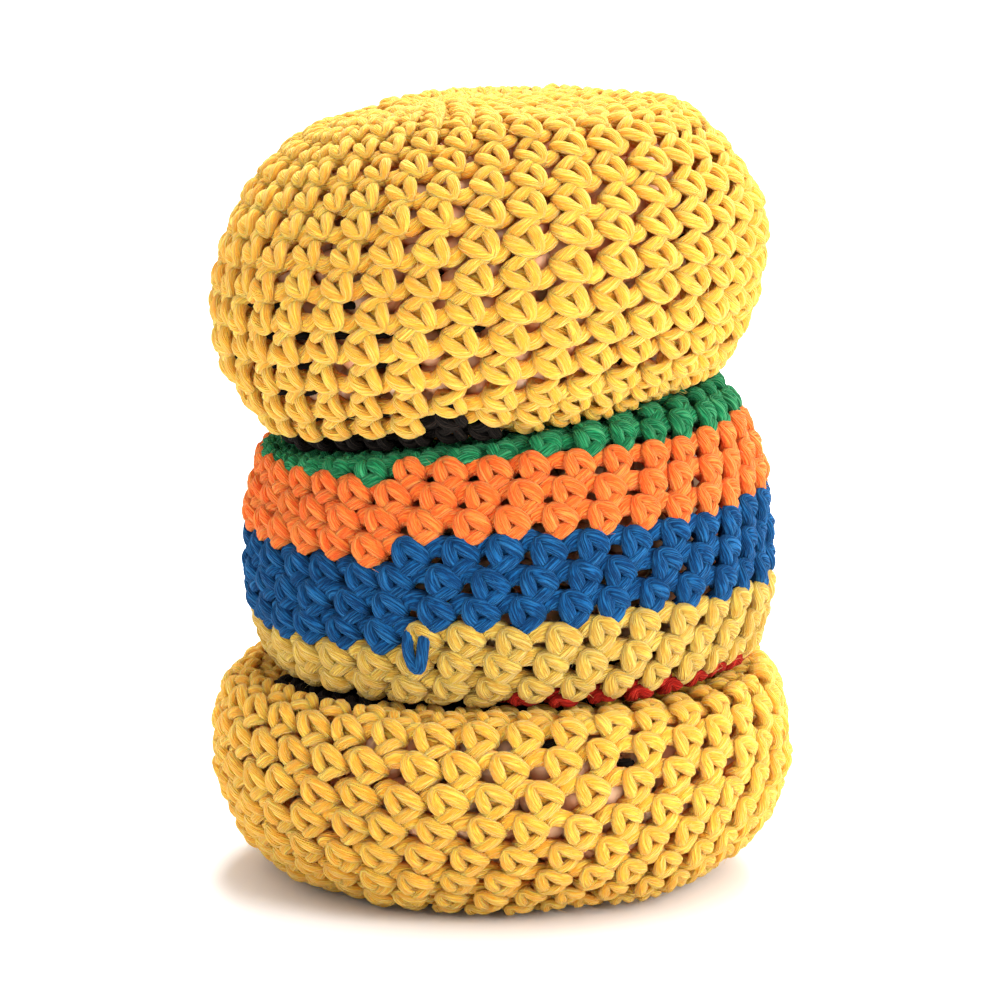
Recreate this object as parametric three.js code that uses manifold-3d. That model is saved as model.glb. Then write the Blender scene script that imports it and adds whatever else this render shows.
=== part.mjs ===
// A stack of three crocheted footbags: each is a yarn cover round a filling of pellets.
// Millimetres, +Z up. The stack stands on Z = 0 and its front is at -Y.
import * as THREE from "three";
import Module from "manifold-3d";

const wasm = await Module();
wasm.setup();
const { CrossSection, Manifold } = wasm;

// Driving dimensions. The bags meet at shares of the stack's height, and the second contact
// rises towards +X by an angle in degrees
const bottomWidth = 57.8;
const middleWidth = 52.4;
const topWidth = 55.3;
const stackHeight = 77.2;
const firstContactShare = 0.277;
const secondContactShare = 0.611;
const secondContactAngle = 9.3;
const coverThickness = 2.4;
const strandThickness = 1.4;
const knotRadius = 1.6;
const pieceGap = 0.3;

// How finely the rounds are cut
const roundSteps = 36;
const fillSteps = 20;
const profileSteps = 60;
const stationLength = 4.6;
const strandSteps = 6;

const fullTurn = 2 * Math.PI;
const fromDegrees = Math.PI / 180;

const firstContactHeight = stackHeight * firstContactShare;
const secondContactHeight = stackHeight * secondContactShare;

// Each bag's own shape. Its widest line is a share of the way up from its floor to its roof, a
// depth is a share of the height from the widest line to the floor or roof, and a flat's radius
// is a share of the width. Tilts are in degrees.
const bags = {
  bottom: {
    width: bottomWidth,
    floor: 0,
    floorSlope: 0,
    roof: firstContactHeight - pieceGap / 2,
    roofSlope: 0,
    widestShare: 0.612,
    lowerDepthShare: 1.025,
    upperDepthShare: 1.285,
    lowerFlatShare: 0.29,
    upperFlatShare: 0.31,
    lowerPower: 1.98,
    upperPower: 2.58,
    centreXShare: 0.002,
    roll: 0.9,
    pitch: 0,
  },
  middle: {
    width: middleWidth,
    floor: firstContactHeight + pieceGap / 2,
    floorSlope: 0,
    roof: secondContactHeight - pieceGap / 2,
    roofSlope: secondContactAngle,
    widestShare: 0.394,
    lowerDepthShare: 1.06,
    upperDepthShare: 1.275,
    lowerFlatShare: 0.4,
    upperFlatShare: 0.33,
    lowerPower: 2.15,
    upperPower: 2.06,
    centreXShare: 0.019,
    roll: 2.5,
    pitch: 0,
  },
  top: {
    width: topWidth,
    floor: secondContactHeight + pieceGap / 2,
    floorSlope: secondContactAngle,
    roof: stackHeight,
    roofSlope: 0,
    widestShare: 0.434,
    lowerDepthShare: 1.19,
    upperDepthShare: 1.065,
    lowerFlatShare: 0.263,
    upperFlatShare: 0.213,
    lowerPower: 1.9,
    upperPower: 1.81,
    centreXShare: -0.02,
    roll: 13.4,
    pitch: -1,
  },
};

// The striped bag's colour borders, along its side from the widest line, in shares of its width
const redToPaleShare = -0.205;
const paleToBlueShare = -0.045;
const blueToOrangeShare = 0.121;
const orangeToGreenShare = 0.257;

// The black yarn's place on a face: its radii in shares of half the bag's width, and its angles
const bottomPanelShares = [0.52, 0.74];
const topPanelShares = [0.62, 0.83];
const bottomPanelAngles = [-165, -61];
const topPanelAngles = [-182, -80];
const panelSteps = 12;

// Where the carried strand runs, along the side from the widest line, in shares of the width
const bottomStrandShare = -0.01;
const topStrandShare = -0.08;
const bottomStrandAngles = [-135, -60];
const topStrandAngles = [-140, -50];
const strandInnerShare = 0.6;

// The filling's surface is lumpy, by this share of a pellet
const pelletDiameter = 4;
const lumpShare = 0.12;
const lumpsRound = 10;

// One quarter of a bag's outline, from its flat out to its widest line
function quarter(halfWidth, flatRadius, depth, power) {
  const points = [];
  for (let step = 0; step <= profileSteps; step++) {
    const turn = (step / profileSteps) * (Math.PI / 2);
    points.push({
      r: flatRadius + (halfWidth - flatRadius) * Math.sin(turn) ** (2 / power),
      z: depth * Math.cos(turn) ** (2 / power),
    });
  }
  return points;
}

// A bag's whole outline with the length along it, counted from the widest line
function outlineOf(bag) {
  const half = bag.width / 2;
  const lower = quarter(
    half,
    bag.width * bag.lowerFlatShare,
    (bag.widestHeight - bag.floor) * bag.lowerDepthShare,
    bag.lowerPower,
  ).map((point) => ({ r: point.r, z: -point.z }));
  const upper = quarter(
    half,
    bag.width * bag.upperFlatShare,
    (bag.roof - bag.widestHeight) * bag.upperDepthShare,
    bag.upperPower,
  ).reverse();
  const points = [{ r: 0, z: lower[0].z }, ...lower, ...upper.slice(1), { r: 0, z: upper.at(-1).z }];
  let length = 0;
  points.forEach((point, index) => {
    if (index > 0) {
      const before = points[index - 1];
      length += Math.hypot(point.r - before.r, point.z - before.z);
    }
    point.along = length;
  });
  const widest = points[profileSteps + 1].along;
  points.forEach((point) => {
    point.along -= widest;
  });
  return points;
}

for (const bag of Object.values(bags)) {
  bag.widestHeight = bag.floor + (bag.roof - bag.floor) * bag.widestShare;
  bag.outline = outlineOf(bag);
  bag.start = bag.outline[0].along;
  bag.end = bag.outline.at(-1).along;
}

// The point at a length along the outline, moved in by a depth at right angles to it
function stationAt(bag, along, depth) {
  const points = bag.outline;
  let index = 1;
  while (index < points.length - 1 && points[index].along < along) {
    index++;
  }
  const before = points[index - 1];
  const after = points[index];
  const length = after.along - before.along;
  const share = Math.min(1, Math.max(0, (along - before.along) / length));
  const outR = (after.z - before.z) / length;
  const outZ = -(after.r - before.r) / length;
  const r = before.r + (after.r - before.r) * share - outR * depth;
  const z = before.z + (after.z - before.z) * share - outZ * depth;
  return { r: Math.max(0, r), z, depth };
}

// A closed outline of a layer of the cover, between two lengths and two depths
function layerOutline(bag, low, high, outerDepth, innerDepth) {
  const steps = Math.max(1, Math.round((high - low) / stationLength));
  const outer = [];
  const inner = [];
  for (let step = 0; step <= steps; step++) {
    const along = low + ((high - low) * step) / steps;
    outer.push(stationAt(bag, along, outerDepth));
    inner.unshift(stationAt(bag, along, innerDepth));
  }
  return [...outer, ...inner];
}

// A point of a bag, tilted, set on the stack and pressed flat against its floor and roof
function placed(bag, r, angle, z, depth) {
  const roll = bag.roll * fromDegrees;
  const pitch = bag.pitch * fromDegrees;
  const x = r * Math.cos(angle);
  const y = r * Math.sin(angle);
  const pitchedY = y * Math.cos(pitch) - z * Math.sin(pitch);
  const pitchedZ = y * Math.sin(pitch) + z * Math.cos(pitch);
  const rolledX = x * Math.cos(roll) - pitchedZ * Math.sin(roll);
  const rolledZ = x * Math.sin(roll) + pitchedZ * Math.cos(roll);
  const placedX = rolledX + bag.width * bag.centreXShare;
  const floor = bag.floor + placedX * Math.tan(bag.floorSlope * fromDegrees);
  const roof = bag.roof + placedX * Math.tan(bag.roofSlope * fromDegrees);
  const height = Math.max(floor + depth, rolledZ + bag.widestHeight);
  return [placedX, pitchedY, Math.min(roof - depth, height)];
}

// A closed solid turned round a bag's middle from an outline of points
function turned(bag, outline, steps, lumpDepth) {
  const vertices = [];
  const faces = [];
  const rings = outline.map((point, index) => {
    const first = vertices.length / 3;
    const count = point.r > 0 ? steps : 1;
    for (let step = 0; step < count; step++) {
      const angle = (fullTurn * step) / steps;
      const lump = (1 + Math.cos(lumpsRound * angle + Math.PI * index)) / 2;
      const r = Math.max(0, point.r - lumpDepth * lump);
      vertices.push(...placed(bag, r, angle, point.z, point.depth));
    }
    return { first, count };
  });
  rings.forEach((ring, index) => {
    const next = rings[(index + 1) % rings.length];
    for (let step = 0; step < steps; step++) {
      const a = ring.first + (step % ring.count);
      const b = ring.first + ((step + 1) % ring.count);
      const c = next.first + (step % next.count);
      const d = next.first + ((step + 1) % next.count);
      if (ring.count > 1) {
        faces.push(a, b, d);
      }
      if (next.count > 1) {
        faces.push(a, d, c);
      }
    }
  });
  const mesh = new wasm.Mesh({
    numProp: 3,
    vertProperties: new Float32Array(vertices),
    triVerts: new Uint32Array(faces),
  });
  return new Manifold(mesh);
}

// A layer of a bag's cover between two lengths along its side
function layer(bag, low, high, outerDepth, innerDepth) {
  return turned(bag, layerOutline(bag, low, high, outerDepth, innerDepth), roundSteps, 0);
}

// The flat outline of part of a ring round a bag's middle
function arcOutline(bag, innerRadius, outerRadius, angles) {
  const points = [];
  const centreX = bag.width * bag.centreXShare;
  const corner = (radius, share) => {
    const angle = (angles[0] + (angles[1] - angles[0]) * share) * fromDegrees;
    points.push([centreX + radius * Math.cos(angle), radius * Math.sin(angle)]);
  };
  for (let step = 0; step <= panelSteps; step++) {
    corner(outerRadius, step / panelSteps);
  }
  for (let step = panelSteps; step >= 0; step--) {
    corner(innerRadius, step / panelSteps);
  }
  return new CrossSection([points]);
}

// An upright block with that outline
function block(outline, low, high) {
  return outline.extrude(high - low).translate([0, 0, low]);
}

// A yellow cover and its black panel, cut from one layer with a gap between them
function coverWithPanel(bag, cover, shares, angles, low, high) {
  const half = bag.width / 2;
  const outline = arcOutline(bag, half * shares[0], half * shares[1], angles);
  const wider = outline.offset(pieceGap / 2, "Miter");
  const narrower = outline.offset(-pieceGap / 2, "Miter");
  return {
    cover: cover.subtract(block(wider, low, high)),
    panel: cover.intersect(block(narrower, low, high)),
  };
}

// A strand of yarn carried along behind the stitches, over part of a round
function carriedStrand(bag, along, angles) {
  const radius = strandThickness / 2;
  const centre = stationAt(bag, along, coverThickness + pieceGap + radius);
  const outline = [];
  for (let step = 0; step < strandSteps; step++) {
    const angle = (fullTurn * step) / strandSteps;
    outline.push({
      r: centre.r + radius * Math.cos(angle),
      z: centre.z + radius * Math.sin(angle),
      depth: centre.depth,
    });
  }
  const ring = turned(bag, outline, roundSteps, 0);
  const half = bag.width / 2;
  const wedge = arcOutline(bag, half * strandInnerShare, half + coverThickness, angles);
  return ring.intersect(block(wedge, bag.floor, bag.roof));
}

// The pellets as one lumpy body, at a depth under the outside of the cover
function pelletFill(bag, depth) {
  const steps = Math.round((bag.end - bag.start) / (2 * stationLength));
  const outline = [];
  for (let step = 0; step <= steps; step++) {
    const along = bag.start + ((bag.end - bag.start) * step) / steps;
    outline.push(stationAt(bag, along, depth));
  }
  outline[0].r = 0;
  outline.at(-1).r = 0;
  return turned(bag, outline, fillSteps, pelletDiameter * lumpShare);
}

// The knotted yarn end that fills the opening left at the last round
function closingKnot(bag, along) {
  const outer = stationAt(bag, along, pieceGap);
  const inner = stationAt(bag, along, coverThickness);
  const outline = [
    { r: 0, z: outer.z, depth: outer.depth },
    { r: knotRadius, z: outer.z, depth: outer.depth },
    { r: knotRadius, z: inner.z, depth: inner.depth },
    { r: 0, z: inner.z, depth: inner.depth },
  ];
  return turned(bag, outer.z > inner.z ? outline.reverse() : outline, fillSteps, 0);
}

const yellow = { color: "#e8bb45", roughness: 0.9 };
const paleYellow = { color: "#d3b05a", roughness: 0.9 };
const black = { color: "#17130f", roughness: 0.95 };
const green = { color: "#1a7043", roughness: 0.9 };
const orange = { color: "#f09248", roughness: 0.9 };
const blue = { color: "#1f4f86", roughness: 0.9 };
const red = { color: "#a92915", roughness: 0.9 };
const pellet = { color: "#e6c9b8", roughness: 0.5 };

const stack = new THREE.Group();

// Adds a solid to the stack as a named mesh, facing out
function add(name, solid, look) {
  const data = solid.getMesh();
  const geometry = new THREE.BufferGeometry();
  geometry.setAttribute("position", new THREE.BufferAttribute(data.vertProperties, 3));
  geometry.setIndex(new THREE.BufferAttribute(data.triVerts, 1));
  const mesh = new THREE.Mesh(geometry, new THREE.MeshStandardMaterial(look));
  mesh.name = name;
  stack.add(mesh);
}

const openingRadius = knotRadius + pieceGap;
const depthUnderCover = coverThickness + pieceGap;
const depthUnderStrand = depthUnderCover + strandThickness + pieceGap;

// The bottom bag, closed at its underside
const bottom = bags.bottom;
const bottomLayer = layer(bottom, bottom.start + openingRadius, bottom.end, 0, coverThickness);
const bottomPieces = coverWithPanel(
  bottom,
  bottomLayer,
  bottomPanelShares,
  bottomPanelAngles,
  bottom.widestHeight,
  bottom.roof + coverThickness,
);
add("bottom_cover", bottomPieces.cover, yellow);
add("bottom_black_panel", bottomPieces.panel, black);
const bottomStrandAt = bottom.width * bottomStrandShare;
add("bottom_carried_strand", carriedStrand(bottom, bottomStrandAt, bottomStrandAngles), black);
add("bottom_pellet_fill", pelletFill(bottom, depthUnderStrand), pellet);
add("bottom_closing_knot", closingKnot(bottom, bottom.start), yellow);

// The striped middle bag, one piece for each colour of yarn, closed at its underside
const middle = bags.middle;
const stripes = [
  ["middle_red_cap", red, middle.start + openingRadius, middle.width * redToPaleShare],
  ["middle_pale_band", paleYellow, middle.width * redToPaleShare, middle.width * paleToBlueShare],
  ["middle_blue_band", blue, middle.width * paleToBlueShare, middle.width * blueToOrangeShare],
  ["middle_orange_band", orange, middle.width * blueToOrangeShare, middle.width * orangeToGreenShare],
  ["middle_green_cap", green, middle.width * orangeToGreenShare, middle.end],
];
stripes.forEach(([name, look, low, high], index) => {
  const from = index === 0 ? low : low + pieceGap / 2;
  const to = index === stripes.length - 1 ? high : high - pieceGap / 2;
  add(name, layer(middle, from, to, 0, coverThickness), look);
});
add("middle_pellet_fill", pelletFill(middle, depthUnderCover), pellet);
add("middle_closing_knot", closingKnot(middle, middle.start), red);

// The top bag, closed at its crown
const top = bags.top;
const topLayer = layer(top, top.start, top.end - openingRadius, 0, coverThickness);
const topPieces = coverWithPanel(
  top,
  topLayer,
  topPanelShares,
  topPanelAngles,
  top.floor - 2 * coverThickness,
  top.widestHeight - 2 * coverThickness,
);
add("top_cover", topPieces.cover, yellow);
add("top_black_panel", topPieces.panel, black);
const topStrandAt = top.width * topStrandShare;
add("top_carried_strand", carriedStrand(top, topStrandAt, topStrandAngles), black);
add("top_pellet_fill", pelletFill(top, depthUnderStrand), pellet);
add("top_closing_knot", closingKnot(top, top.end), yellow);

export default stack;
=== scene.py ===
"""A stack of three crocheted footbags: yarn covers, stitch by stitch, over pellets."""

import math

import bpy
import numpy as np
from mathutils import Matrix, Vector


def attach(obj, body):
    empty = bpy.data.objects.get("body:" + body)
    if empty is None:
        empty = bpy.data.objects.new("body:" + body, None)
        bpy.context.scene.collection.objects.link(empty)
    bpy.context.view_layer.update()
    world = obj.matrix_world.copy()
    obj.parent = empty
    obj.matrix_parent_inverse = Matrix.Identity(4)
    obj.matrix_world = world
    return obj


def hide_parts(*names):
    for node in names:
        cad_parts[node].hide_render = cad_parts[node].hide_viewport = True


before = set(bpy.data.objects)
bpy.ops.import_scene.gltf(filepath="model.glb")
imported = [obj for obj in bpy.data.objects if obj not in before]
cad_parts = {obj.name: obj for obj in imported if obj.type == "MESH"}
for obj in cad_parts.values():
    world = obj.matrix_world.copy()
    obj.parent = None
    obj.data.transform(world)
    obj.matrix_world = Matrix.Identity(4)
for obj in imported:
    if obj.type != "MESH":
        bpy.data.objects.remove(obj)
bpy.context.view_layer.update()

MM = 0.001
FULL_TURN = 2 * math.pi
TINY = 1e-9

# Sizes of the part's source, in millimetres and degrees
BOTTOM_WIDTH = 57.8
MIDDLE_WIDTH = 52.4
TOP_WIDTH = 55.3
STACK_HEIGHT = 77.2
FIRST_CONTACT_SHARE = 0.277
SECOND_CONTACT_SHARE = 0.611
FIRST_CONTACT_HEIGHT = STACK_HEIGHT * FIRST_CONTACT_SHARE
SECOND_CONTACT_HEIGHT = STACK_HEIGHT * SECOND_CONTACT_SHARE
SECOND_CONTACT_ANGLE = 9.3
OUTLINE_STEPS = 60

# The yarn, how far two bags sink into each other where they touch, how softly a bag is pressed
# flat there, and how far the yarn stands out of a bag's outline
YARN_RADIUS = 0.63
NESTLING = 0.3
PRESS_SOFTNESS = 0.35
SWELL = 0.4

# A round wanders up and down in two waves, and pellets lift the cover in waves that cross: how
# many there are round a bag, and how far they turn with each millimetre along its side
WANDER = 0.2
WANDER_WAVES = (2, 5)
WANDER_SECOND_SHARE = 0.6
WANDER_TWIST = 0.2
LUMP_HEIGHT = 0.18
LUMP_WAVES = (6, 11)
LUMP_TWISTS = (0.3, -0.42)
LUMP_FADE_START = 2

# The outward direction is smoothed, so that the stitches don't crease at the flats
LEAN_STEPS = 400
LEAN_REACH = 10


class Bag:
    """One squashed bag: its outline, its tilt and the planes it is pressed against."""

    def __init__(self, name, shape):
        self.name = name
        self.body = name + "_bag"
        for key, value in shape.items():
            setattr(self, key, value)
        self.centre_x = self.width * self.shift_share
        self.yarn_radius = self.yarn_share * YARN_RADIUS
        self.widest_height = self.floor + (self.roof - self.floor) * self.widest_share
        turns = np.linspace(0, math.pi / 2, OUTLINE_STEPS + 1)
        half = self.width / 2
        rooms = (self.widest_height - self.floor, self.roof - self.widest_height)
        quarters = []
        for room, depth_share, flat_share, power in zip(
            rooms, self.depth_shares, self.flat_shares, self.powers
        ):
            flat = self.width * flat_share
            radii = flat + (half - flat) * np.sin(turns) ** (2 / power)
            heights = room * depth_share * np.cos(turns) ** (2 / power)
            quarters.append((radii, heights))
        (low_r, low_z), (high_r, high_z) = quarters
        self.r = np.concatenate([[0], low_r, high_r[::-1][1:], [0]])
        self.z = np.concatenate([[-low_z[0]], -low_z, high_z[::-1][1:], [high_z[0]]])
        steps = np.hypot(np.diff(self.r), np.diff(self.z))
        self.along = np.concatenate([[0], np.cumsum(steps)])
        self.along -= self.along[OUTLINE_STEPS + 1]
        self.start = self.along[0]
        self.end = self.along[-1]
        self.even = np.linspace(self.start, self.end, LEAN_STEPS)
        dr = np.gradient(np.interp(self.even, self.along, self.r), self.even)
        dz = np.gradient(np.interp(self.even, self.along, self.z), self.even)
        angle = np.unwrap(np.arctan2(-dr, dz))
        padded = np.pad(angle, LEAN_REACH, mode="edge")
        window = 2 * LEAN_REACH + 1
        self.lean = np.convolve(padded, np.ones(window) / window, mode="valid")

    def row_shift(self, along, angle):
        """How far a round strays along the side: its own tilt and some wandering."""
        share = np.interp(along, self.along, self.r) / (self.width / 2)
        first = np.sin(WANDER_WAVES[0] * angle + self.width)
        second = np.sin(WANDER_WAVES[1] * angle + WANDER_TWIST * along)
        wander = WANDER * (first + WANDER_SECOND_SHARE * second)
        return share * (self.row_tilt * np.cos(angle) + wander)

    def lumps(self, along, angle):
        """The low lumps of the pellets under the cover."""
        first = np.sin(LUMP_WAVES[0] * angle + LUMP_TWISTS[0] * along + self.width)
        second = np.sin(LUMP_WAVES[1] * angle + LUMP_TWISTS[1] * along)
        fade = np.sin(LUMP_TWISTS[0] * along + LUMP_FADE_START)
        return LUMP_HEIGHT * (first + second * fade)

    def place(self, along, angle, depth):
        """Points at a length along the outline, an angle round the bag and a depth under its outside."""
        lean = np.interp(along, self.even, self.lean)
        under = depth + self.lumps(along, angle) - SWELL
        r = np.interp(along, self.along, self.r) - np.cos(lean) * under
        z = np.interp(along, self.along, self.z) - np.sin(lean) * under
        points = np.stack([r * np.cos(angle), r * np.sin(angle), z], -1)
        return self.settle(points, depth)

    def room_at(self, x):
        """How high the bag's floor and roof are at a place from left to right."""
        floor = self.floor + x * math.tan(math.radians(self.floor_slope))
        roof = self.roof + self.headroom + x * math.tan(math.radians(self.roof_slope))
        return floor, roof

    def settle(self, points, depth):
        """Tilts points of the bag, sets them on the stack and presses them between its floor and roof."""
        roll = math.radians(self.roll)
        pitch = math.radians(self.pitch)
        x, y, z = points[..., 0], points[..., 1], points[..., 2]
        pitched_y = y * math.cos(pitch) - z * math.sin(pitch)
        pitched_z = y * math.sin(pitch) + z * math.cos(pitch)
        placed_x = x * math.cos(roll) - pitched_z * math.sin(roll) + self.centre_x
        height = x * math.sin(roll) + pitched_z * math.cos(roll) + self.widest_height
        floor, roof = self.room_at(placed_x)
        floor = floor + depth
        roof = roof - depth
        height = floor + PRESS_SOFTNESS * np.logaddexp(0, (height - floor) / PRESS_SOFTNESS)
        height = roof - PRESS_SOFTNESS * np.logaddexp(0, (roof - height) / PRESS_SOFTNESS)
        return np.stack([placed_x, pitched_y, height], -1)

    def holds(self, points):
        """Whether points lie between the bag's floor and roof."""
        floor, roof = self.room_at(points[..., 0])
        height = points[..., 2]
        return (height > floor) & (height < roof)


# Each bag's outline, place and stitches. A pair holds a value for the half under the widest line
# and one for the half over it. The widest line's height is a share of the height from floor to roof.
# A half's curve goes as deep as its share of that half's height, and what is past 1 is pressed
# flat. The flats' half widths and the shift to the right are shares of the bag's width. The rounds
# are higher on the right by the row tilt, and each is out of line with the one before by the lean
# share of a stitch. A stitch is sheared, spread and raised by its shares
BAG_SHAPES = {
    "bottom": {
        "width": BOTTOM_WIDTH,
        "floor": 0,
        "floor_slope": 0,
        "roof": FIRST_CONTACT_HEIGHT + NESTLING / 2,
        "roof_slope": 0,
        "headroom": 0,
        "widest_share": 0.612,
        "depth_shares": (1.025, 1.285),
        "flat_shares": (0.29, 0.31),
        "powers": (1.98, 2.58),
        "shift_share": 0.002,
        "roll": 0.9,
        "pitch": 0,
        "row_tilt": 1.7,
        "lean_share": 0.3,
        "shear_share": 0.04,
        "spread_share": 0.92,
        "rise_share": 1.06,
        "yarn_share": 1,
        "pellet_depth": 3.7,
    },
    "middle": {
        "width": MIDDLE_WIDTH,
        "floor": FIRST_CONTACT_HEIGHT - NESTLING / 2,
        "floor_slope": 0,
        "roof": SECOND_CONTACT_HEIGHT + NESTLING / 2,
        "roof_slope": SECOND_CONTACT_ANGLE,
        "headroom": 0,
        "widest_share": 0.394,
        "depth_shares": (1.06, 1.275),
        "flat_shares": (0.4, 0.33),
        "powers": (2.15, 2.06),
        "shift_share": 0.019,
        "roll": 2.5,
        "pitch": 0,
        "row_tilt": 0,
        "lean_share": 0.28,
        "shear_share": 0.12,
        "spread_share": 0.84,
        "rise_share": 1.16,
        "yarn_share": 1.15,
        "pellet_depth": 5.4,
    },
    "top": {
        "width": TOP_WIDTH,
        "floor": SECOND_CONTACT_HEIGHT - NESTLING / 2,
        "floor_slope": SECOND_CONTACT_ANGLE,
        "roof": STACK_HEIGHT,
        "roof_slope": 0,
        "headroom": 0.5,
        "widest_share": 0.434,
        "depth_shares": (1.19, 1.065),
        "flat_shares": (0.263, 0.213),
        "powers": (1.9, 1.81),
        "shift_share": -0.02,
        "roll": 13.4,
        "pitch": -1,
        "row_tilt": -3.5,
        "lean_share": 0.27,
        "shear_share": 0.2,
        "spread_share": 0.92,
        "rise_share": 1.06,
        "yarn_share": 1,
        "pellet_depth": 3.7,
    },
}
bottom, middle, top = (Bag(name, shape) for name, shape in BAG_SHAPES.items())


# Materials
class Socket:
    """Wraps a shader socket, so that sums and products of sockets add Math nodes."""

    def __init__(self, nodes, socket):
        self.nodes = nodes
        self.socket = socket

    def _math(self, operation, *terms):
        return self.nodes.make("ShaderNodeMath", {"operation": operation}, terms)

    def __add__(self, other):
        return self._math("ADD", self, other)

    def __sub__(self, other):
        return self._math("SUBTRACT", self, other)

    def __mul__(self, other):
        return self._math("MULTIPLY", self, other)

    def __abs__(self):
        return self._math("ABSOLUTE", self)


class Nodes:
    """Makes the nodes of one material."""

    def __init__(self, name):
        self.material = bpy.data.materials.new(name)
        self.material.use_nodes = True
        self.tree = self.material.node_tree
        self.shader = self.tree.nodes["Principled BSDF"]

    def make(self, kind, settings=None, values=(), output=0):
        """A node of a kind, with its settings, then the values or links of its sockets."""
        node = self.tree.nodes.new(kind)
        for key, value in (settings or {}).items():
            if key == "stops":
                elements = node.color_ramp.elements
                while len(elements) < len(value):
                    elements.new(1.0)
                for element, (place, colour) in zip(elements, value):
                    element.position = place
                    element.color = colour
            else:
                setattr(node, key, value)
        pairs = values.items() if isinstance(values, dict) else enumerate(values)
        for key, value in pairs:
            self.feed(node.inputs[key], value)
        return Socket(self, node.outputs[output])

    def feed(self, socket, value):
        """Links a socket to another one, or sets its value."""
        if isinstance(value, Socket):
            self.tree.links.new(value.socket, socket)
        else:
            socket.default_value = value

    def finish(self, uniform, varying):
        """Sets the shader's sockets."""
        for key, value in {**uniform, **varying}.items():
            self.feed(self.shader.inputs[key], value)
        return self.material


def linear(colour):
    """A colour of the screen, from 0 to 255, as light by the sRGB curve."""
    return tuple(((c / 255 + 0.055) / 1.055) ** 2.4 if c > 10 else c / 255 / 12.92 for c in colour) + (1,)


# How fine the fibres are round the strand and along it, how they turn with its length, how high
# they stand in metres, the tone between them (partly fibre streaks, partly painted shade in the
# valleys), how much their ridges add to it (partly fibre streaks, partly painted highlight on the
# ridges), and where a yarn's four tones lie on the colour ramp
FIBRE_ROUND_SHARE = 2.4
FIBRE_LENGTH_SHARE = 0.4
FIBRE_TWIST_SHARE = 0.06
FIBRE_HEIGHT = 0.0007
VALLEY_STREAK_AND_SHADE = 0.24
RIDGE_STREAK_AND_HIGHLIGHT = 1.25
TONE_PLACES = (0.02, 0.32, 0.46, 0.78)

# Each yarn's four tones and its sheen's colour. The deep tone is painted shade deep in the stitches
# and between the fibres, tinted as the light that passes through and bounces in the yarn; the dark
# and ridge tones are partly fibre streaks, partly painted shade in the valleys and painted
# highlight on the ridges
YARN_COLOURS = {
    "yellow_yarn": ((242, 128, 30), (238, 168, 50), (246, 190, 66), (252, 212, 90), (255, 240, 190)),
    "pale_yellow_yarn": ((176, 112, 32), (196, 150, 54), (212, 174, 70), (226, 194, 96), (255, 240, 190)),
    "orange_yarn": ((206, 50, 16), (240, 96, 30), (250, 124, 46), (254, 148, 68), (255, 190, 130)),
    "blue_yarn": ((2, 14, 32), (8, 54, 98), (16, 82, 136), (38, 106, 160), (70, 130, 185)),
    "green_yarn": ((2, 36, 20), (7, 94, 54), (26, 136, 82), (70, 160, 106), (120, 190, 140)),
    "red_yarn": ((70, 6, 4), (140, 16, 10), (182, 32, 20), (204, 56, 40), (208, 80, 60)),
    "black_yarn": ((3, 2, 2), (9, 7, 6), (24, 20, 18), (56, 47, 40), (70, 60, 52)),
}

# How much each yarn shines, and how much light goes through it
YARN_GLOSS_AND_GLOW = {
    "yellow_yarn": (0.2, 0.4),
    "pale_yellow_yarn": (0.2, 0.3),
    "orange_yarn": (0.2, 0.45),
    "blue_yarn": (0.1, 0.1),
    "green_yarn": (0.12, 0.1),
    "red_yarn": (0.12, 0.3),
    "black_yarn": (0.1, 0.0),
}


def yarn(name):
    """Loosely spun yarn: fine fibres along the strand, painted shade between them and deep in the stitches.
    """
    *tones, sheen = (linear(colour) for colour in YARN_COLOURS[name])
    gloss, glow = YARN_GLOSS_AND_GLOW[name]
    n = Nodes(name)
    uv = n.make("ShaderNodeUVMap", {"uv_map": "strand"})
    across = n.make("ShaderNodeSeparateXYZ", values=[uv])
    length = Socket(n, across.socket.node.outputs[1])
    turn = (across + length * FIBRE_TWIST_SHARE) * FULL_TURN
    cosine = n.make("ShaderNodeMath", {"operation": "COSINE"}, [turn]) * FIBRE_ROUND_SHARE
    sine = n.make("ShaderNodeMath", {"operation": "SINE"}, [turn]) * FIBRE_ROUND_SHARE
    place = n.make("ShaderNodeCombineXYZ", values=[cosine, sine, length * FIBRE_LENGTH_SHARE])
    fibres = n.make(
        "ShaderNodeTexNoise",
        {"noise_dimensions": "3D"},
        {"Vector": place, "Scale": 1.0, "Detail": 2.0, "Roughness": 0.6},
    )
    # Painted shade and highlight: the colour follows the bump's ridges, darker in the valleys between
    # fibres and lighter on the ridges, over the fibres' own streaks
    ridges = abs(fibres - 0.5) * 2
    # The tone attribute holds a random tone per stitch and painted shade that grows with depth in the
    # stitches
    tone = n.make("ShaderNodeAttribute", {"attribute_name": "tone"}, output=2)
    colour = n.make(
        "ShaderNodeValToRGB",
        {"stops": list(zip(TONE_PLACES, tones))},
        [ridges * RIDGE_STREAK_AND_HIGHLIGHT + tone + VALLEY_STREAK_AND_SHADE],
    )
    bump = n.make("ShaderNodeBump", values={"Strength": 1.0, "Distance": FIBRE_HEIGHT, "Height": ridges})
    return n.finish(
        {
            "Roughness": 0.85,
            "Specular IOR Level": gloss,
            "Subsurface Weight": glow,
            "Subsurface Radius": (1.0, 0.6, 0.25),
            "Subsurface Scale": 0.001,
            "Sheen Weight": 0.45,
            "Sheen Roughness": 0.35,
            "Sheen Tint": sheen,
        },
        {"Base Color": colour, "Normal": bump},
    )


yarns = {name: yarn(name) for name in YARN_COLOURS}


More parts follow.
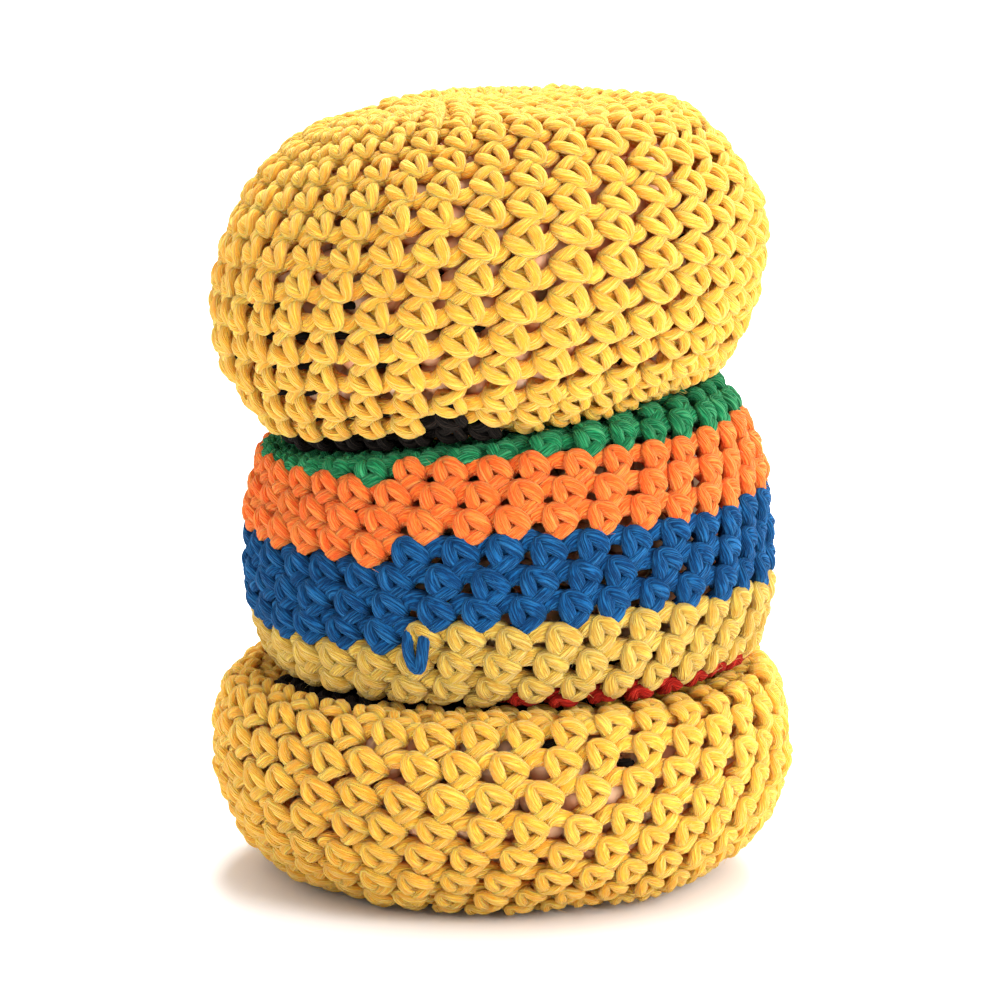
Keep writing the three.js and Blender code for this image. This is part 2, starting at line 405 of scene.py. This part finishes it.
def pellet_material():
    """Pale smooth plastic, each pellet a little different, its colour tinted and lightened as painted
    light.
    """
    n = Nodes("pellets")
    where = n.make("ShaderNodeTexCoord", output=3)
    cloud = n.make(
        "ShaderNodeTexNoise",
        values={"Vector": where, "Scale": 260.0, "Detail": 1.0, "Roughness": 0.5},
    )
    # Painted light: the pellets' pale colour is tinted peach-orange for the light that reaches them through
    # the yellow yarn, and lightened against the shade deep in the holes
    colour = n.make(
        "ShaderNodeValToRGB",
        {"stops": [(0.35, linear((244, 166, 112))), (0.65, linear((254, 208, 168)))]},
        [cloud],
    )
    return n.finish(
        {
            "Roughness": 0.45,
            "Subsurface Weight": 0.4,
            "Subsurface Radius": (1.0, 0.6, 0.4),
            "Subsurface Scale": 0.002,
        },
        {"Base Color": colour},
    )


pellets = pellet_material()

# One stitch, worked upwards: the points its yarn passes, as a place to the right in stitch widths,
# a place up in round heights, a depth in millimetres under the outside, how wide the yarn is there,
# and how many steps lead to the next point
STITCH = np.array(
    [
        (-0.08, 0.30, 1.75, 1.35, 1),
        (-0.26, 0.50, 1.80, 1.40, 1),
        (-0.42, 0.66, 2.10, 1.10, 1),
        (-0.56, 0.78, 2.20, 0.80, 1),
        (-0.60, 0.67, 1.60, 0.88, 1),
        (-0.57, 0.53, 1.00, 1.00, 2),
        (-0.46, 0.39, 0.72, 1.10, 2),
        (-0.32, 0.26, 0.62, 1.12, 2),
        (-0.18, 0.16, 0.68, 1.02, 2),
        (-0.06, 0.11, 0.84, 0.84, 1),
        (0.03, 0.14, 0.84, 0.80, 1),
        (0.05, 0.26, 0.68, 0.94, 2),
        (0.02, 0.44, 0.56, 1.05, 2),
        (-0.04, 0.63, 0.66, 1.03, 2),
        (-0.11, 0.80, 1.15, 0.92, 1),
        (-0.14, 0.94, 1.80, 0.80, 1),
        (-0.06, 1.07, 2.20, 0.80, 1),
        (0.04, 1.10, 1.90, 0.85, 1),
        (-0.03, 1.04, 1.30, 0.92, 2),
        (-0.16, 0.95, 0.92, 0.98, 2),
        (-0.30, 0.86, 0.80, 1.00, 2),
        (-0.44, 0.77, 0.95, 0.96, 2),
        (-0.56, 0.69, 1.50, 0.90, 1),
        (-0.60, 0.52, 1.75, 0.95, 1),
        (-0.69, 0.33, 1.60, 1.25, 2),
        (-0.88, 0.22, 1.55, 1.42, 2),
    ]
)

# How far the stitches stray from that, sideways and up in shares of a stitch, and in depth in
# millimetres, and how much their spread and their yarn differ
ACROSS_STRAY = 0.04
UP_STRAY = 0.045
DEPTH_STRAY = 0.08
SPREAD_STRAY = 0.05
SIZE_STRAY = 0.04

# How many of the next stitch's points a run of yarn goes on to, and how thin it gets where the
# stitches are narrower than the widest
LINK_POINTS = 2
WIDEST_STITCH = 4.6
THINNEST_SHARE = 0.78

# How many stitches a round gains at the first pole, how many it loses at the last one, and how
# many more are left there
OPENING_STITCHES = 6
CLOSING_STITCHES = 7
CLOSING_EXTRA = 2

# The columns of a bag's stitches
ROUND, REACH, ANGLE, WIDTH, HEIGHT, ORDER = range(6)


def rounds_of(bag, worked_up, most, heights, first_along, first_angle, first_round):
    """Every stitch of a bag's cover, as a spiral from one pole to the other.

    The first stitch of first_round starts at first_along and first_angle. The heights are those of
    the rounds before it, its own and those after it. A row holds the stitch's round, its reach from
    the first pole, its angle, its width as an angle, its height and its order.
    """
    length = bag.end - bag.start
    sign = 1 if worked_up else -1
    angle = math.radians(first_angle)
    level = first_along - float(bag.row_shift(first_along, angle))
    reached = level - bag.start if worked_up else bag.end - level
    start = reached - first_round * heights[0]
    total = first_round + 1 + int((length - reached - heights[1]) / heights[2])

    def stitches_in(number):
        opening = OPENING_STITCHES * (number + 1)
        closing = CLOSING_STITCHES * max(1, total - number) + CLOSING_EXTRA
        return min(most, opening, closing)

    widths = [FULL_TURN / (stitches_in(number) + bag.lean_share) for number in range(total)]
    for number in range(first_round):
        angle += sign * stitches_in(number) * widths[number]
    stitches = []
    for number in range(total):
        count = stitches_in(number)
        height = heights[1 + int(np.sign(number - first_round))]
        for index in range(count):
            stitches.append((number, start + height * index / count, angle, widths[number], height))
            angle -= sign * widths[number]
        start += height
    return np.column_stack([np.array(stitches), np.arange(len(stitches))])


# How near to a pole the yarn comes, and how far apart two depths are that give its outward side
POLE_MARGIN = 0.2
OUTWARD_STEP = 0.5


def strand_line(bag, reach, angle, depth, size, mark, worked_up):
    """Points on a bag with what the yarn needs there: place, outward side, size, depth and mark."""
    reach = np.clip(reach, POLE_MARGIN, bag.end - bag.start - POLE_MARGIN)
    along = bag.start + reach if worked_up else bag.end - reach
    along = along + bag.row_shift(along, angle)
    points = bag.place(along, angle, depth)
    outward = bag.place(along, angle, depth - OUTWARD_STEP) - points
    return np.column_stack([points, outward, size, depth, mark])


def stitched_line(bag, stitches, following, worked_up, rng):
    """The line of the yarn through some stitches in a row, and into the one that follows."""
    kept = len(stitches) * len(STITCH) + LINK_POINTS
    stitches = np.concatenate([stitches, following])
    number = len(stitches)
    start, turn, width, height = (stitches[:, [column]] for column in (REACH, ANGLE, WIDTH, HEIGHT))
    sign = 1 if worked_up else -1
    across, up, under, thickness, steps = STITCH.T
    across = across * bag.spread_share + up * bag.shear_share
    up = up * bag.rise_share
    stray = rng.normal(0, 1, (number, 4))
    up_stray, across_stray, depth_stray, spread_stray = np.split(stray, 4, axis=1)
    spread = 1 + SPREAD_STRAY * spread_stray
    reach = start + height * (up + UP_STRAY * up_stray)
    angle = turn + sign * width * (across * spread + ACROSS_STRAY * across_stray)
    depth = under + DEPTH_STRAY * depth_stray
    along = bag.start + start if worked_up else bag.end - start
    room = np.interp(along, bag.along, bag.r) * width / WIDEST_STITCH
    size = bag.yarn_radius * thickness * np.clip(room, THINNEST_SHARE, 1.0)
    size = size * (1 + SIZE_STRAY * rng.normal(0, 1, (number, 1)))
    mark = np.broadcast_to(rng.random((number, 1)) - 0.5, reach.shape)
    knots = strand_line(bag, *(value.ravel() for value in (reach, angle, depth, size, mark)), worked_up)
    return smooth_line(knots[:kept], np.tile(steps.astype(int), number)[:kept])


def smooth_line(knots, steps):
    """A Catmull-Rom line through the knots' places, with a number of steps after each."""
    first = np.concatenate([knots[:1], knots[:-1]])
    third = np.concatenate([knots[1:], knots[-1:]])
    fourth = np.concatenate([knots[2:], knots[-1:], knots[-1:]])
    rows = []
    for count in np.unique(steps):
        which = np.nonzero(steps == count)[0]
        which = which[which < len(knots) - 1]
        a, b, c, d = first[which, :3], knots[which, :3], third[which, :3], fourth[which, :3]
        for step in range(count):
            t = step / count
            point = 0.5 * (
                2 * b + (c - a) * t + (2 * a - 5 * b + 4 * c - d) * t**2 + (3 * b - a - 3 * c + d) * t**3
            )
            rest = knots[which, 3:] * (1 - t) + knots[which + 1, 3:] * t
            rows.append(np.column_stack([which + t, point, rest]))
    rows = np.concatenate(rows)
    return rows[np.argsort(rows[:, 0]), 1:]


def frames_along(points):
    """Directions along a line and across it that turn as little as they can."""
    tangents = np.gradient(points, axis=0)
    tangents /= np.linalg.norm(tangents, axis=1, keepdims=True) + TINY
    across = np.empty_like(points)
    start = np.cross(tangents[0], (0, 0, 1.0))
    across[0] = start / (np.linalg.norm(start) + TINY)
    for i in range(1, len(points)):
        v = across[i - 1] - tangents[i] * np.dot(across[i - 1], tangents[i])
        across[i] = v / (math.sqrt(np.dot(v, v)) + TINY)
    return tangents, across, np.cross(tangents, across)


def tube_faces(rings, sides):
    """The side faces of a tube whose rings of vertices follow each other, and its two end faces."""
    ring = np.arange(sides)
    rows = np.arange(rings - 1)[:, None] * sides
    here = rows + ring[None]
    after = rows + (ring[None] + 1) % sides
    quads = np.stack([here, after, after + sides, here + sides], -1).reshape(-1, 4)
    ends = np.stack([ring[::-1], (rings - 1) * sides + ring])
    return quads, ends


# The yarn's section: lobed as its plies are, flattened outwards by a share of its thickness and
# widened by half as much
YARN_SIDES = 10
THIN_SIDES = 8
YARN_LOBES = 4
LOBE_SHARE = 0.06
YARN_TWIST_LENGTH = 11.0
FLATTENING = 0.12
WIDENING_SHARE = 0.5

# How much the tone differs between stitches, and the painted shade that lowers it with depth
# under the outside: how strong, at which depth it starts and over how many millimetres it grows
SHADE_SPREAD = 0.05
PAINTED_DEPTH_SHADE = 0.42
PAINTED_SHADE_START = 1.1
PAINTED_SHADE_REACH = 1.2

# Loose fibres: how many stand off a millimetre of yarn, down to which depth, their measures and
# tone, how far they tilt, and how they rise, stray, bend and droop in shares of their length
FUZZ_PER_MM = 0.22
FUZZ_DEPTH = 1.4
FUZZ_LENGTHS = (0.5, 1.5)
FUZZ_RADIUS = 0.022
FUZZ_TAPER = 0.6
FUZZ_STEPS = 3
FUZZ_SIDES = 3
FUZZ_TONE = 0.3
FUZZ_TILT = 1.2
FUZZ_RISES = (0.1, 0.6)
FUZZ_STRAY = 0.35
FUZZ_BEND = 0.45
FUZZ_DROOP = 0.35


class YarnMesh:
    """Gathers tubes and loose fibres, then makes them one mesh object."""

    def __init__(self):
        self.vertices = []
        self.tones = []
        self.faces = []
        self.uvs = []
        self.count = 0

    def add(self, vertices, tones, faces, uvs):
        """Adds vertices with their tones, and groups of faces with the UVs of their corners."""
        self.vertices.append(vertices)
        self.tones.append(tones)
        for face, uv in zip(faces, uvs):
            self.faces.append(face + self.count)
            self.uvs.append(uv)
        self.count += len(vertices)

    def tube(self, line, sides=YARN_SIDES):
        """One strand of yarn along a line."""
        points, outward = line[:, :3], line[:, 3:6]
        size, depth, mark = line[:, 6:].T
        ring = np.arange(sides)
        turn = FULL_TURN * ring / sides
        _, across, up = frames_along(points)
        length = np.concatenate([[0], np.cumsum(np.linalg.norm(np.diff(points, axis=0), axis=1))])
        twist = FULL_TURN * length[:, None] / YARN_TWIST_LENGTH
        wide = size[:, None] * (1 + LOBE_SHARE * np.cos(YARN_LOBES * (turn[None] + twist)))
        sideways = across[:, None] * (np.cos(turn) * wide)[..., None]
        offset = sideways + up[:, None] * (np.sin(turn) * wide)[..., None]
        out = outward / (np.linalg.norm(outward, axis=1, keepdims=True) + TINY)
        lift = (offset * out[:, None]).sum(-1)
        flatter = lift * FLATTENING * (1 + WIDENING_SHARE)
        offset = offset * (1 + FLATTENING * WIDENING_SHARE) - flatter[..., None] * out[:, None]
        # Painted shade: yarn deeper under the outside gets a lower tone, down to the deep colour, for the
        # shade inside the stitches
        under = depth[:, None] - lift
        painted_shade = np.clip((under - PAINTED_SHADE_START) / PAINTED_SHADE_REACH, 0, 1)
        tones = SHADE_SPREAD * mark[:, None] - PAINTED_DEPTH_SHADE * painted_shade
        quads, ends = tube_faces(len(points), sides)
        u0 = np.broadcast_to(ring[None] / sides, (len(points) - 1, sides))
        u1 = u0 + 1 / sides
        v0 = np.broadcast_to(length[:-1, None], u0.shape)
        v1 = np.broadcast_to(length[1:, None], u0.shape)
        uv = np.stack([np.stack(pair, -1) for pair in ((u0, v0), (u1, v0), (u1, v1), (u0, v1))], -2)
        self.add(
            (points[:, None] + offset).reshape(-1, 3),
            tones.ravel(),
            [quads, ends],
            [uv.reshape(-1, 2), np.zeros((ends.size, 2))],
        )

    def fuzz(self, line, bag, rng):
        """Fine loose fibres that stand off a strand's outer side, inside the room of its bag."""
        tangents = np.gradient(line[:, :3], axis=0)
        step = np.linalg.norm(tangents, axis=1)
        chance = FUZZ_PER_MM * step * (line[:, 7] < FUZZ_DEPTH)
        picked = np.nonzero(rng.random(len(line)) < chance)[0]
        if len(picked) == 0:
            return
        one_each = (len(picked), 1)
        along = tangents[picked] / step[picked, None]
        out = line[picked, 3:6]
        out = out / np.linalg.norm(out, axis=1, keepdims=True)
        side = np.cross(along, out)
        tilt = rng.uniform(-FUZZ_TILT, FUZZ_TILT, one_each)
        away = out * np.cos(tilt) + side * np.sin(tilt)
        root = line[picked, :3] + away * line[picked, 6:7] * (1 - FLATTENING)
        length = rng.uniform(*FUZZ_LENGTHS, one_each)[:, None]
        heading = along * rng.choice([-1, 1], one_each) + away * rng.uniform(*FUZZ_RISES, one_each)
        heading = heading + side * rng.normal(0, FUZZ_STRAY, one_each)
        bend = side * rng.normal(0, FUZZ_BEND, one_each) - away * rng.uniform(0, FUZZ_DROOP, one_each)
        share = np.linspace(0, 1, FUZZ_STEPS + 1)[None, :, None]
        points = root[:, None] + heading[:, None] * length * share + bend[:, None] * length * share**2
        inside = bag.holds(points).all(axis=1)
        points, away, side = points[inside], away[inside], side[inside]
        turn = FULL_TURN * np.arange(FUZZ_SIDES) / FUZZ_SIDES
        ring = np.cos(turn)[:, None, None] * away + np.sin(turn)[:, None, None] * side
        thick = FUZZ_RADIUS * (1 - FUZZ_TAPER * share)
        vertices = points[:, :, None] + ring.transpose(1, 0, 2)[:, None] * thick[:, :, None]
        vertices = vertices.reshape(-1, 3)
        quads, ends = tube_faces(FUZZ_STEPS + 1, FUZZ_SIDES)
        base = np.arange(len(points))[:, None, None] * (FUZZ_STEPS + 1) * FUZZ_SIDES
        quads = (quads[None] + base).reshape(-1, 4)
        ends = (ends[None] + base).reshape(-1, FUZZ_SIDES)
        tones = np.full(len(vertices), FUZZ_TONE)
        self.add(vertices, tones, [quads, ends], [np.zeros((quads.size, 2)), np.zeros((ends.size, 2))])

    def finish(self, name, material):
        """The mesh as an object, in metres at the origin."""
        mesh = bpy.data.meshes.new(name)
        vertices = np.concatenate(self.vertices) * MM
        mesh.vertices.add(len(vertices))
        mesh.vertices.foreach_set("co", vertices.ravel())
        loops = np.concatenate([face.ravel() for face in self.faces])
        sizes = np.concatenate([np.full(len(face), face.shape[1]) for face in self.faces])
        mesh.loops.add(len(loops))
        mesh.loops.foreach_set("vertex_index", loops)
        mesh.polygons.add(len(sizes))
        mesh.polygons.foreach_set("loop_start", np.concatenate([[0], np.cumsum(sizes)[:-1]]))
        mesh.polygons.foreach_set("use_smooth", np.ones(len(sizes), bool))
        mesh.uv_layers.new(name="strand")
        mesh.uv_layers["strand"].data.foreach_set("uv", np.concatenate(self.uvs).ravel())
        attribute = mesh.attributes.new("tone", "FLOAT", "POINT")
        attribute.data.foreach_set("value", np.concatenate(self.tones))
        mesh.update(calc_edges=True)
        mesh.validate()
        mesh.materials.append(material)
        made = bpy.data.objects.new(name, mesh)
        bpy.context.scene.collection.objects.link(made)
        return made


def padded_piece(mesh, name, bag, slot):
    """A bag's yarn as one padded piece that rides on the bag."""
    made = mesh.finish(name, yarns[slot])
    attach(made, bag.body)
    return made


def crochet(bag, name, every, chosen, worked_up, slot, seed):
    """The yarn of the chosen stitches out of every one of a bag."""
    stitches = every[chosen]
    rng = np.random.default_rng(seed)
    breaks = np.nonzero(np.diff(stitches[:, ORDER]) > 1)[0] + 1
    mesh = YarnMesh()
    for run in np.split(stitches, breaks):
        after = int(run[-1, ORDER]) + 1
        line = stitched_line(bag, run, every[after : after + 1], worked_up, rng)
        mesh.tube(line)
        mesh.fuzz(line, bag, rng)
    return padded_piece(mesh, name, bag, slot)


def facing(stitches):
    """How far round each stitch is from the front, in degrees, positive to the right."""
    return (np.degrees(stitches[:, ANGLE]) + 90 + 180) % 360 - 180


# The carried yarn passes four points behind each stitch, at shares of its height and its width
CARRIED_RISES = np.array([0.84, 0.86, 0.96, 0.92])
CARRIED_TURNS = np.array([-0.35, -0.72, -0.92, -1.2])
CARRIED_STEPS = 2
CARRIED_SHOWN_DEPTH = 2.0
CARRIED_HIDDEN_DEPTH = 6.5
CARRIED_SAG = 0.1
CARRIED_RADIUS = 0.4


def carried_strand(bag, stitches, worked_up, facings, shown_shares, seed):
    """Black yarn carried along behind the stitches, which comes up in some of the holes.

    The first share of the holes is for the facings between the two given, the other for the rest.
    """
    rng = np.random.default_rng(seed)
    sign = 1 if worked_up else -1
    number = len(stitches)
    low, high = facings
    front = (facing(stitches) > low) & (facing(stitches) < high)
    shown = rng.random(number) < np.where(front, *shown_shares)
    depth = np.where(shown, CARRIED_SHOWN_DEPTH, CARRIED_HIDDEN_DEPTH)
    hidden = np.full(number, CARRIED_HIDDEN_DEPTH)
    depths = np.column_stack([hidden, depth, depth + CARRIED_SAG, hidden])
    reach = stitches[:, [REACH]] + stitches[:, [HEIGHT]] * CARRIED_RISES
    angle = stitches[:, [ANGLE]] + sign * stitches[:, [WIDTH]] * CARRIED_TURNS
    size = np.full(reach.size, CARRIED_RADIUS)
    marks = np.zeros(reach.size)
    knots = strand_line(bag, reach.ravel(), angle.ravel(), depths.ravel(), size, marks, worked_up)
    mesh = YarnMesh()
    mesh.tube(smooth_line(knots, np.full(reach.size, CARRIED_STEPS)), THIN_SIDES)
    made = padded_piece(mesh, bag.name + "_carried_yarn", bag, "black_yarn")
    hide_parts(bag.name + "_carried_strand")


# The knotted end winds in to a pole, weaves up and down on its way, and sinks in at the pole
KNOT_TURNS = 2.7
KNOT_STEPS = 14
KNOT_INNER_REACH = 0.3
KNOT_WINDING = 2.6
KNOT_DEPTH = 0.9
KNOT_WEAVE = 0.5
KNOT_WEAVES = 3
KNOT_SINK = 1.2
KNOT_SINK_POWER = 4
KNOT_SIZE_SHARE = 0.85


def knotted_end(bag, name, worked_up, at_last_round, slot):
    """The yarn end wound and knotted at a pole of a bag."""
    count = int(KNOT_TURNS * KNOT_STEPS)
    share = np.linspace(0, 1, count)
    reach = KNOT_INNER_REACH + KNOT_WINDING * (1 - share)
    if at_last_round:
        reach = bag.end - bag.start - reach
    angle = share * KNOT_TURNS * FULL_TURN
    depth = KNOT_DEPTH + KNOT_WEAVE * np.sin(KNOT_WEAVES * angle) + KNOT_SINK * share**KNOT_SINK_POWER
    size = np.full(count, YARN_RADIUS * KNOT_SIZE_SHARE)
    mesh = YarnMesh()
    mesh.tube(strand_line(bag, reach, angle, depth, size, np.zeros(count), worked_up))
    return padded_piece(mesh, name, bag, slot)


def both_ends(bag, worked_up, first_slot, last_slot):
    """The yarn's knotted end at a bag's last round, and the ring it starts from."""
    last = knotted_end(bag, bag.name + "_knotted_end", worked_up, True, last_slot)
    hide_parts(bag.name + "_closing_knot")
    knotted_end(bag, bag.name + "_first_ring", worked_up, False, first_slot)


# The loop's place on the side, its size, how deep it is rooted and how far it stands off
LOOP_ALONG = -1.4
LOOP_FACING = -20.2
LOOP_HALF_WIDTH = 0.85
LOOP_DROP = 3.9
LOOP_STEPS = 16
LOOP_ROOT_DEPTH = 2.2
LOOP_ROOT_POWER = 4
LOOP_RISE = 0.5
LOOP_SIZE_SHARE = 0.9


def hanging_loop(bag, name, slot):
    """A slack loop of yarn left hanging where one colour gives way to the next."""
    turns = np.linspace(0, math.pi, LOOP_STEPS)
    drop = np.sin(turns)
    angle = math.radians(LOOP_FACING - 90) + np.cos(turns) * LOOP_HALF_WIDTH / (bag.width / 2)
    reach = bag.end - LOOP_ALONG + LOOP_DROP * drop
    depth = LOOP_ROOT_DEPTH * (1 - drop) ** LOOP_ROOT_POWER - LOOP_RISE
    size = np.full(LOOP_STEPS, YARN_RADIUS * LOOP_SIZE_SHARE)
    mesh = YarnMesh()
    mesh.tube(strand_line(bag, reach, angle, depth, size, np.zeros(LOOP_STEPS), False))
    padded_piece(mesh, name, bag, slot)


# How many rounds are partly black, and how many make up a yellow bag's side
BLACK_ROUNDS = 2
SIDE_ROUNDS = 6


def yellow_bag(bag, worked_up, rounds, black_facings, carried_rounds, carried_facings, shown_shares, seeds):
    """The yarn of a yellow bag, with a black run just before its side and black yarn behind it."""
    stitches = rounds_of(bag, worked_up, **rounds)
    number = stitches[:, ROUND]
    first = rounds["first_round"]
    low, high = black_facings
    black = (number >= first - BLACK_ROUNDS) & (number < first)
    black &= (facing(stitches) > low) & (facing(stitches) < high)
    before, after = ("base", "crown") if worked_up else ("crown", "base")
    side_end = first + SIDE_ROUNDS
    parts = [
        (before, ~black & (number < first), "yellow_yarn"),
        ("side", (number >= first) & (number < side_end), "yellow_yarn"),
        (after, number >= side_end, "yellow_yarn"),
        ("black", black, "black_yarn"),
    ]
    *part_seeds, carried_seed = seeds
    for seed, (part, chosen, slot) in zip(part_seeds, parts):
        name = f"{bag.name}_{part}_yarn"
        crochet(bag, name, stitches, chosen, worked_up, slot, seed)
    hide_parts(bag.name + "_cover")
    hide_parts(bag.name + "_black_panel")
    carried = (number >= first) & (number < first + carried_rounds)
    carried_strand(bag, stitches[carried], worked_up, carried_facings, shown_shares, carried_seed)
    both_ends(bag, worked_up, "yellow_yarn", "yellow_yarn")


# The bottom bag, worked downwards
yellow_bag(
    bottom,
    worked_up=False,
    rounds={
        "most": 38,
        "heights": (3.05, 3.05, 3.2),
        "first_along": 14.65,
        "first_angle": -119,
        "first_round": 6,
    },
    black_facings=(-78, 28),
    carried_rounds=4,
    carried_facings=(-60, 30),
    shown_shares=(0.3, 0.1),
    seeds=(10, 11, 12, 13, 20),
)

# The middle bag, worked downwards, with three rounds to each colour and a few stitches more
MIDDLE_MOST = 36
MIDDLE_HEIGHTS = (2.6, 2.8, 2.8)
MIDDLE_FIRST_ALONG = 7.16
MIDDLE_FIRST_ANGLE = -112.5
MIDDLE_SEED = 30
BLUE_ROUND = 12
COLOUR_ROUNDS = 3
COLOUR_STITCHES = COLOUR_ROUNDS * MIDDLE_MOST
COLOUR_EXTRA = 1
PALE_EXTRA = 3
middle_stitches = rounds_of(
    middle, False, MIDDLE_MOST, MIDDLE_HEIGHTS, MIDDLE_FIRST_ALONG, MIDDLE_FIRST_ANGLE, BLUE_ROUND
)
blue_start = int(np.nonzero(middle_stitches[:, ROUND] == BLUE_ROUND)[0][0])
orange_start = blue_start - COLOUR_STITCHES - COLOUR_EXTRA
pale_start = blue_start + COLOUR_STITCHES + COLOUR_EXTRA
red_start = pale_start + COLOUR_STITCHES + PALE_EXTRA
middle_parts = [
    ("middle_green_yarn", 0, orange_start, "green_yarn", "middle_green_cap"),
    ("middle_orange_yarn", orange_start, blue_start, "orange_yarn", "middle_orange_band"),
    ("middle_blue_yarn", blue_start, pale_start, "blue_yarn", "middle_blue_band"),
    ("middle_pale_yarn", pale_start, red_start, "pale_yellow_yarn", "middle_pale_band"),
    ("middle_red_yarn", red_start, len(middle_stitches), "red_yarn", "middle_red_cap"),
]
for seed, (name, low, high, slot, node) in enumerate(middle_parts, MIDDLE_SEED):
    made = crochet(middle, name, middle_stitches, slice(low, high), False, slot, seed)
    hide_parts(node)
both_ends(middle, False, "green_yarn", "red_yarn")
hanging_loop(middle, "middle_hanging_loop", "blue_yarn")

# The top bag, worked upwards
yellow_bag(
    top,
    worked_up=True,
    rounds={
        "most": 36,
        "heights": (2.9, 2.3, 3.15),
        "first_along": -12.1,
        "first_angle": -113.4,
        "first_round": 8,
    },
    black_facings=(-100, -4),
    carried_rounds=5,
    carried_facings=(-60, -8),
    shown_shares=(0.5, 0.08),
    seeds=(50, 51, 52, 53, 60),
)

# The pellets inside each cover lie in rings, two layers deep, each a little out of its place
PELLET_RADIUS = 1.85
PELLET_LAYER = 3.1
PELLET_SPACING_SHARE = 0.95
PELLET_SPACING = 2 * PELLET_RADIUS * PELLET_SPACING_SHARE
PELLET_SMALLEST_SHARE = 0.92
PELLET_SIZE_SPREAD = 0.14
PELLET_SMALLEST_RING = 0.5
PELLET_TURN_STRAY = 0.08
PELLET_TURN_STRAY_RADIUS = 6
PELLET_ALONG_STRAY = 0.3
PELLET_DEPTH_STRAY = 0.5
PELLET_SEED = 70


def pellet_layers(bag, seed):
    """Pellets packed against the inside of a cover, as one object."""
    rng = np.random.default_rng(seed)
    bpy.ops.mesh.primitive_ico_sphere_add(subdivisions=2, radius=1.0)
    ball = bpy.context.object
    corners = np.array([vertex.co[:] for vertex in ball.data.vertices])
    faces = np.array([face.vertices[:] for face in ball.data.polygons])
    bpy.data.objects.remove(ball)
    places = []
    for depth in (bag.pellet_depth, bag.pellet_depth + PELLET_LAYER):
        for ring in range(int((bag.end - bag.start) / PELLET_SPACING)):
            along = bag.start + PELLET_SPACING * (ring + 0.5)
            r = float(np.interp(along, bag.along, bag.r)) - depth
            if r < PELLET_SMALLEST_RING:
                continue
            count = max(1, int(FULL_TURN * r / PELLET_SPACING))
            turns = FULL_TURN * (np.arange(count) + rng.random()) / count
            stray = rng.normal(0, PELLET_TURN_STRAY, count)
            turns = turns + stray / max(1, r / PELLET_TURN_STRAY_RADIUS)
            alongs = along + rng.normal(0, PELLET_ALONG_STRAY, count)
            depths = depth + rng.random(count) * PELLET_DEPTH_STRAY
            places.append(bag.place(alongs, turns, depths))
    centres = np.concatenate(places)
    sizes = PELLET_SMALLEST_SHARE + PELLET_SIZE_SPREAD * rng.random((len(centres), 1, 1))
    sizes = PELLET_RADIUS * sizes
    vertices = (centres[:, None] + corners[None] * sizes).reshape(-1, 3)
    all_faces = (faces[None] + np.arange(len(centres))[:, None, None] * len(corners)).reshape(-1, 3)
    name = bag.name + "_pellets"
    mesh = bpy.data.meshes.new(name)
    mesh.from_pydata((vertices * MM).tolist(), [], all_faces.tolist())
    mesh.polygons.foreach_set("use_smooth", np.ones(len(all_faces), bool))
    mesh.materials.append(pellets)
    made = bpy.data.objects.new(name, mesh)
    bpy.context.scene.collection.objects.link(made)
    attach(made, bag.body)
    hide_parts(bag.name + "_pellet_fill")


for seed, bag in enumerate((bottom, middle, top), PELLET_SEED):
    pellet_layers(bag, seed)

# Floor, camera and light, in metres and watts
FLOOR_SIZE = 8
FLOOR_COLOUR = (0.94, 0.94, 0.94, 1)
CAMERA_DISTANCE = 0.45
CAMERA_ELEVATION = 10.5
CAMERA_TARGET = Vector((0, 0, 0.0374))
CAMERA_CLIP_START = 0.01
FRAME_WIDTH = 0.1
LIGHTS = [
    ("overhead_light", "SUN", (0.35, -0.15, 0.9), 1.1, {"angle": math.radians(60)}),
    ("side_light", "AREA", (0.5, -0.45, 0.35), 4.5, {"size": 0.4}),
    ("back_light", "AREA", (0.1, 0.4, 0.75), 15, {"size": 0.5}),
]
WORLD_STRENGTH = 0.9

bpy.ops.mesh.primitive_plane_add(size=FLOOR_SIZE, location=(0, 0, 0))
floor = bpy.context.object
floor.name = "floor"
floor_finish = {"Base Color": FLOOR_COLOUR, "Roughness": 0.8, "Specular IOR Level": 0.2}
floor.data.materials.append(Nodes("pale_floor").finish(floor_finish, {}))

camera_data = bpy.data.cameras.new("camera")
camera = bpy.data.objects.new("camera", camera_data)
bpy.context.scene.collection.objects.link(camera)
tilt = math.radians(CAMERA_ELEVATION)
back = Vector((0, -math.cos(tilt), math.sin(tilt)))
camera.location = CAMERA_TARGET + back * CAMERA_DISTANCE
camera.rotation_euler = back.to_track_quat("Z", "Y").to_euler()
camera_data.angle = 2 * math.atan(FRAME_WIDTH / 2 / CAMERA_DISTANCE)
camera_data.clip_start = CAMERA_CLIP_START
bpy.context.scene.camera = camera

for name, kind, place, power, settings in LIGHTS:
    light_data = bpy.data.lights.new(name, kind)
    light_data.energy = power
    for key, value in settings.items():
        setattr(light_data, key, value)
    light = bpy.data.objects.new(name, light_data)
    light.location = place
    light.rotation_euler = (Vector(place) - CAMERA_TARGET).to_track_quat("Z", "Y").to_euler()
    bpy.context.scene.collection.objects.link(light)

world = bpy.data.worlds.new("studio")
world.use_nodes = True
background = world.node_tree.nodes["Background"]
background.inputs["Color"].default_value = (1, 1, 1, 1)
background.inputs["Strength"].default_value = WORLD_STRENGTH
bpy.context.scene.world = world
bpy.context.scene.view_settings.view_transform = "Standard"
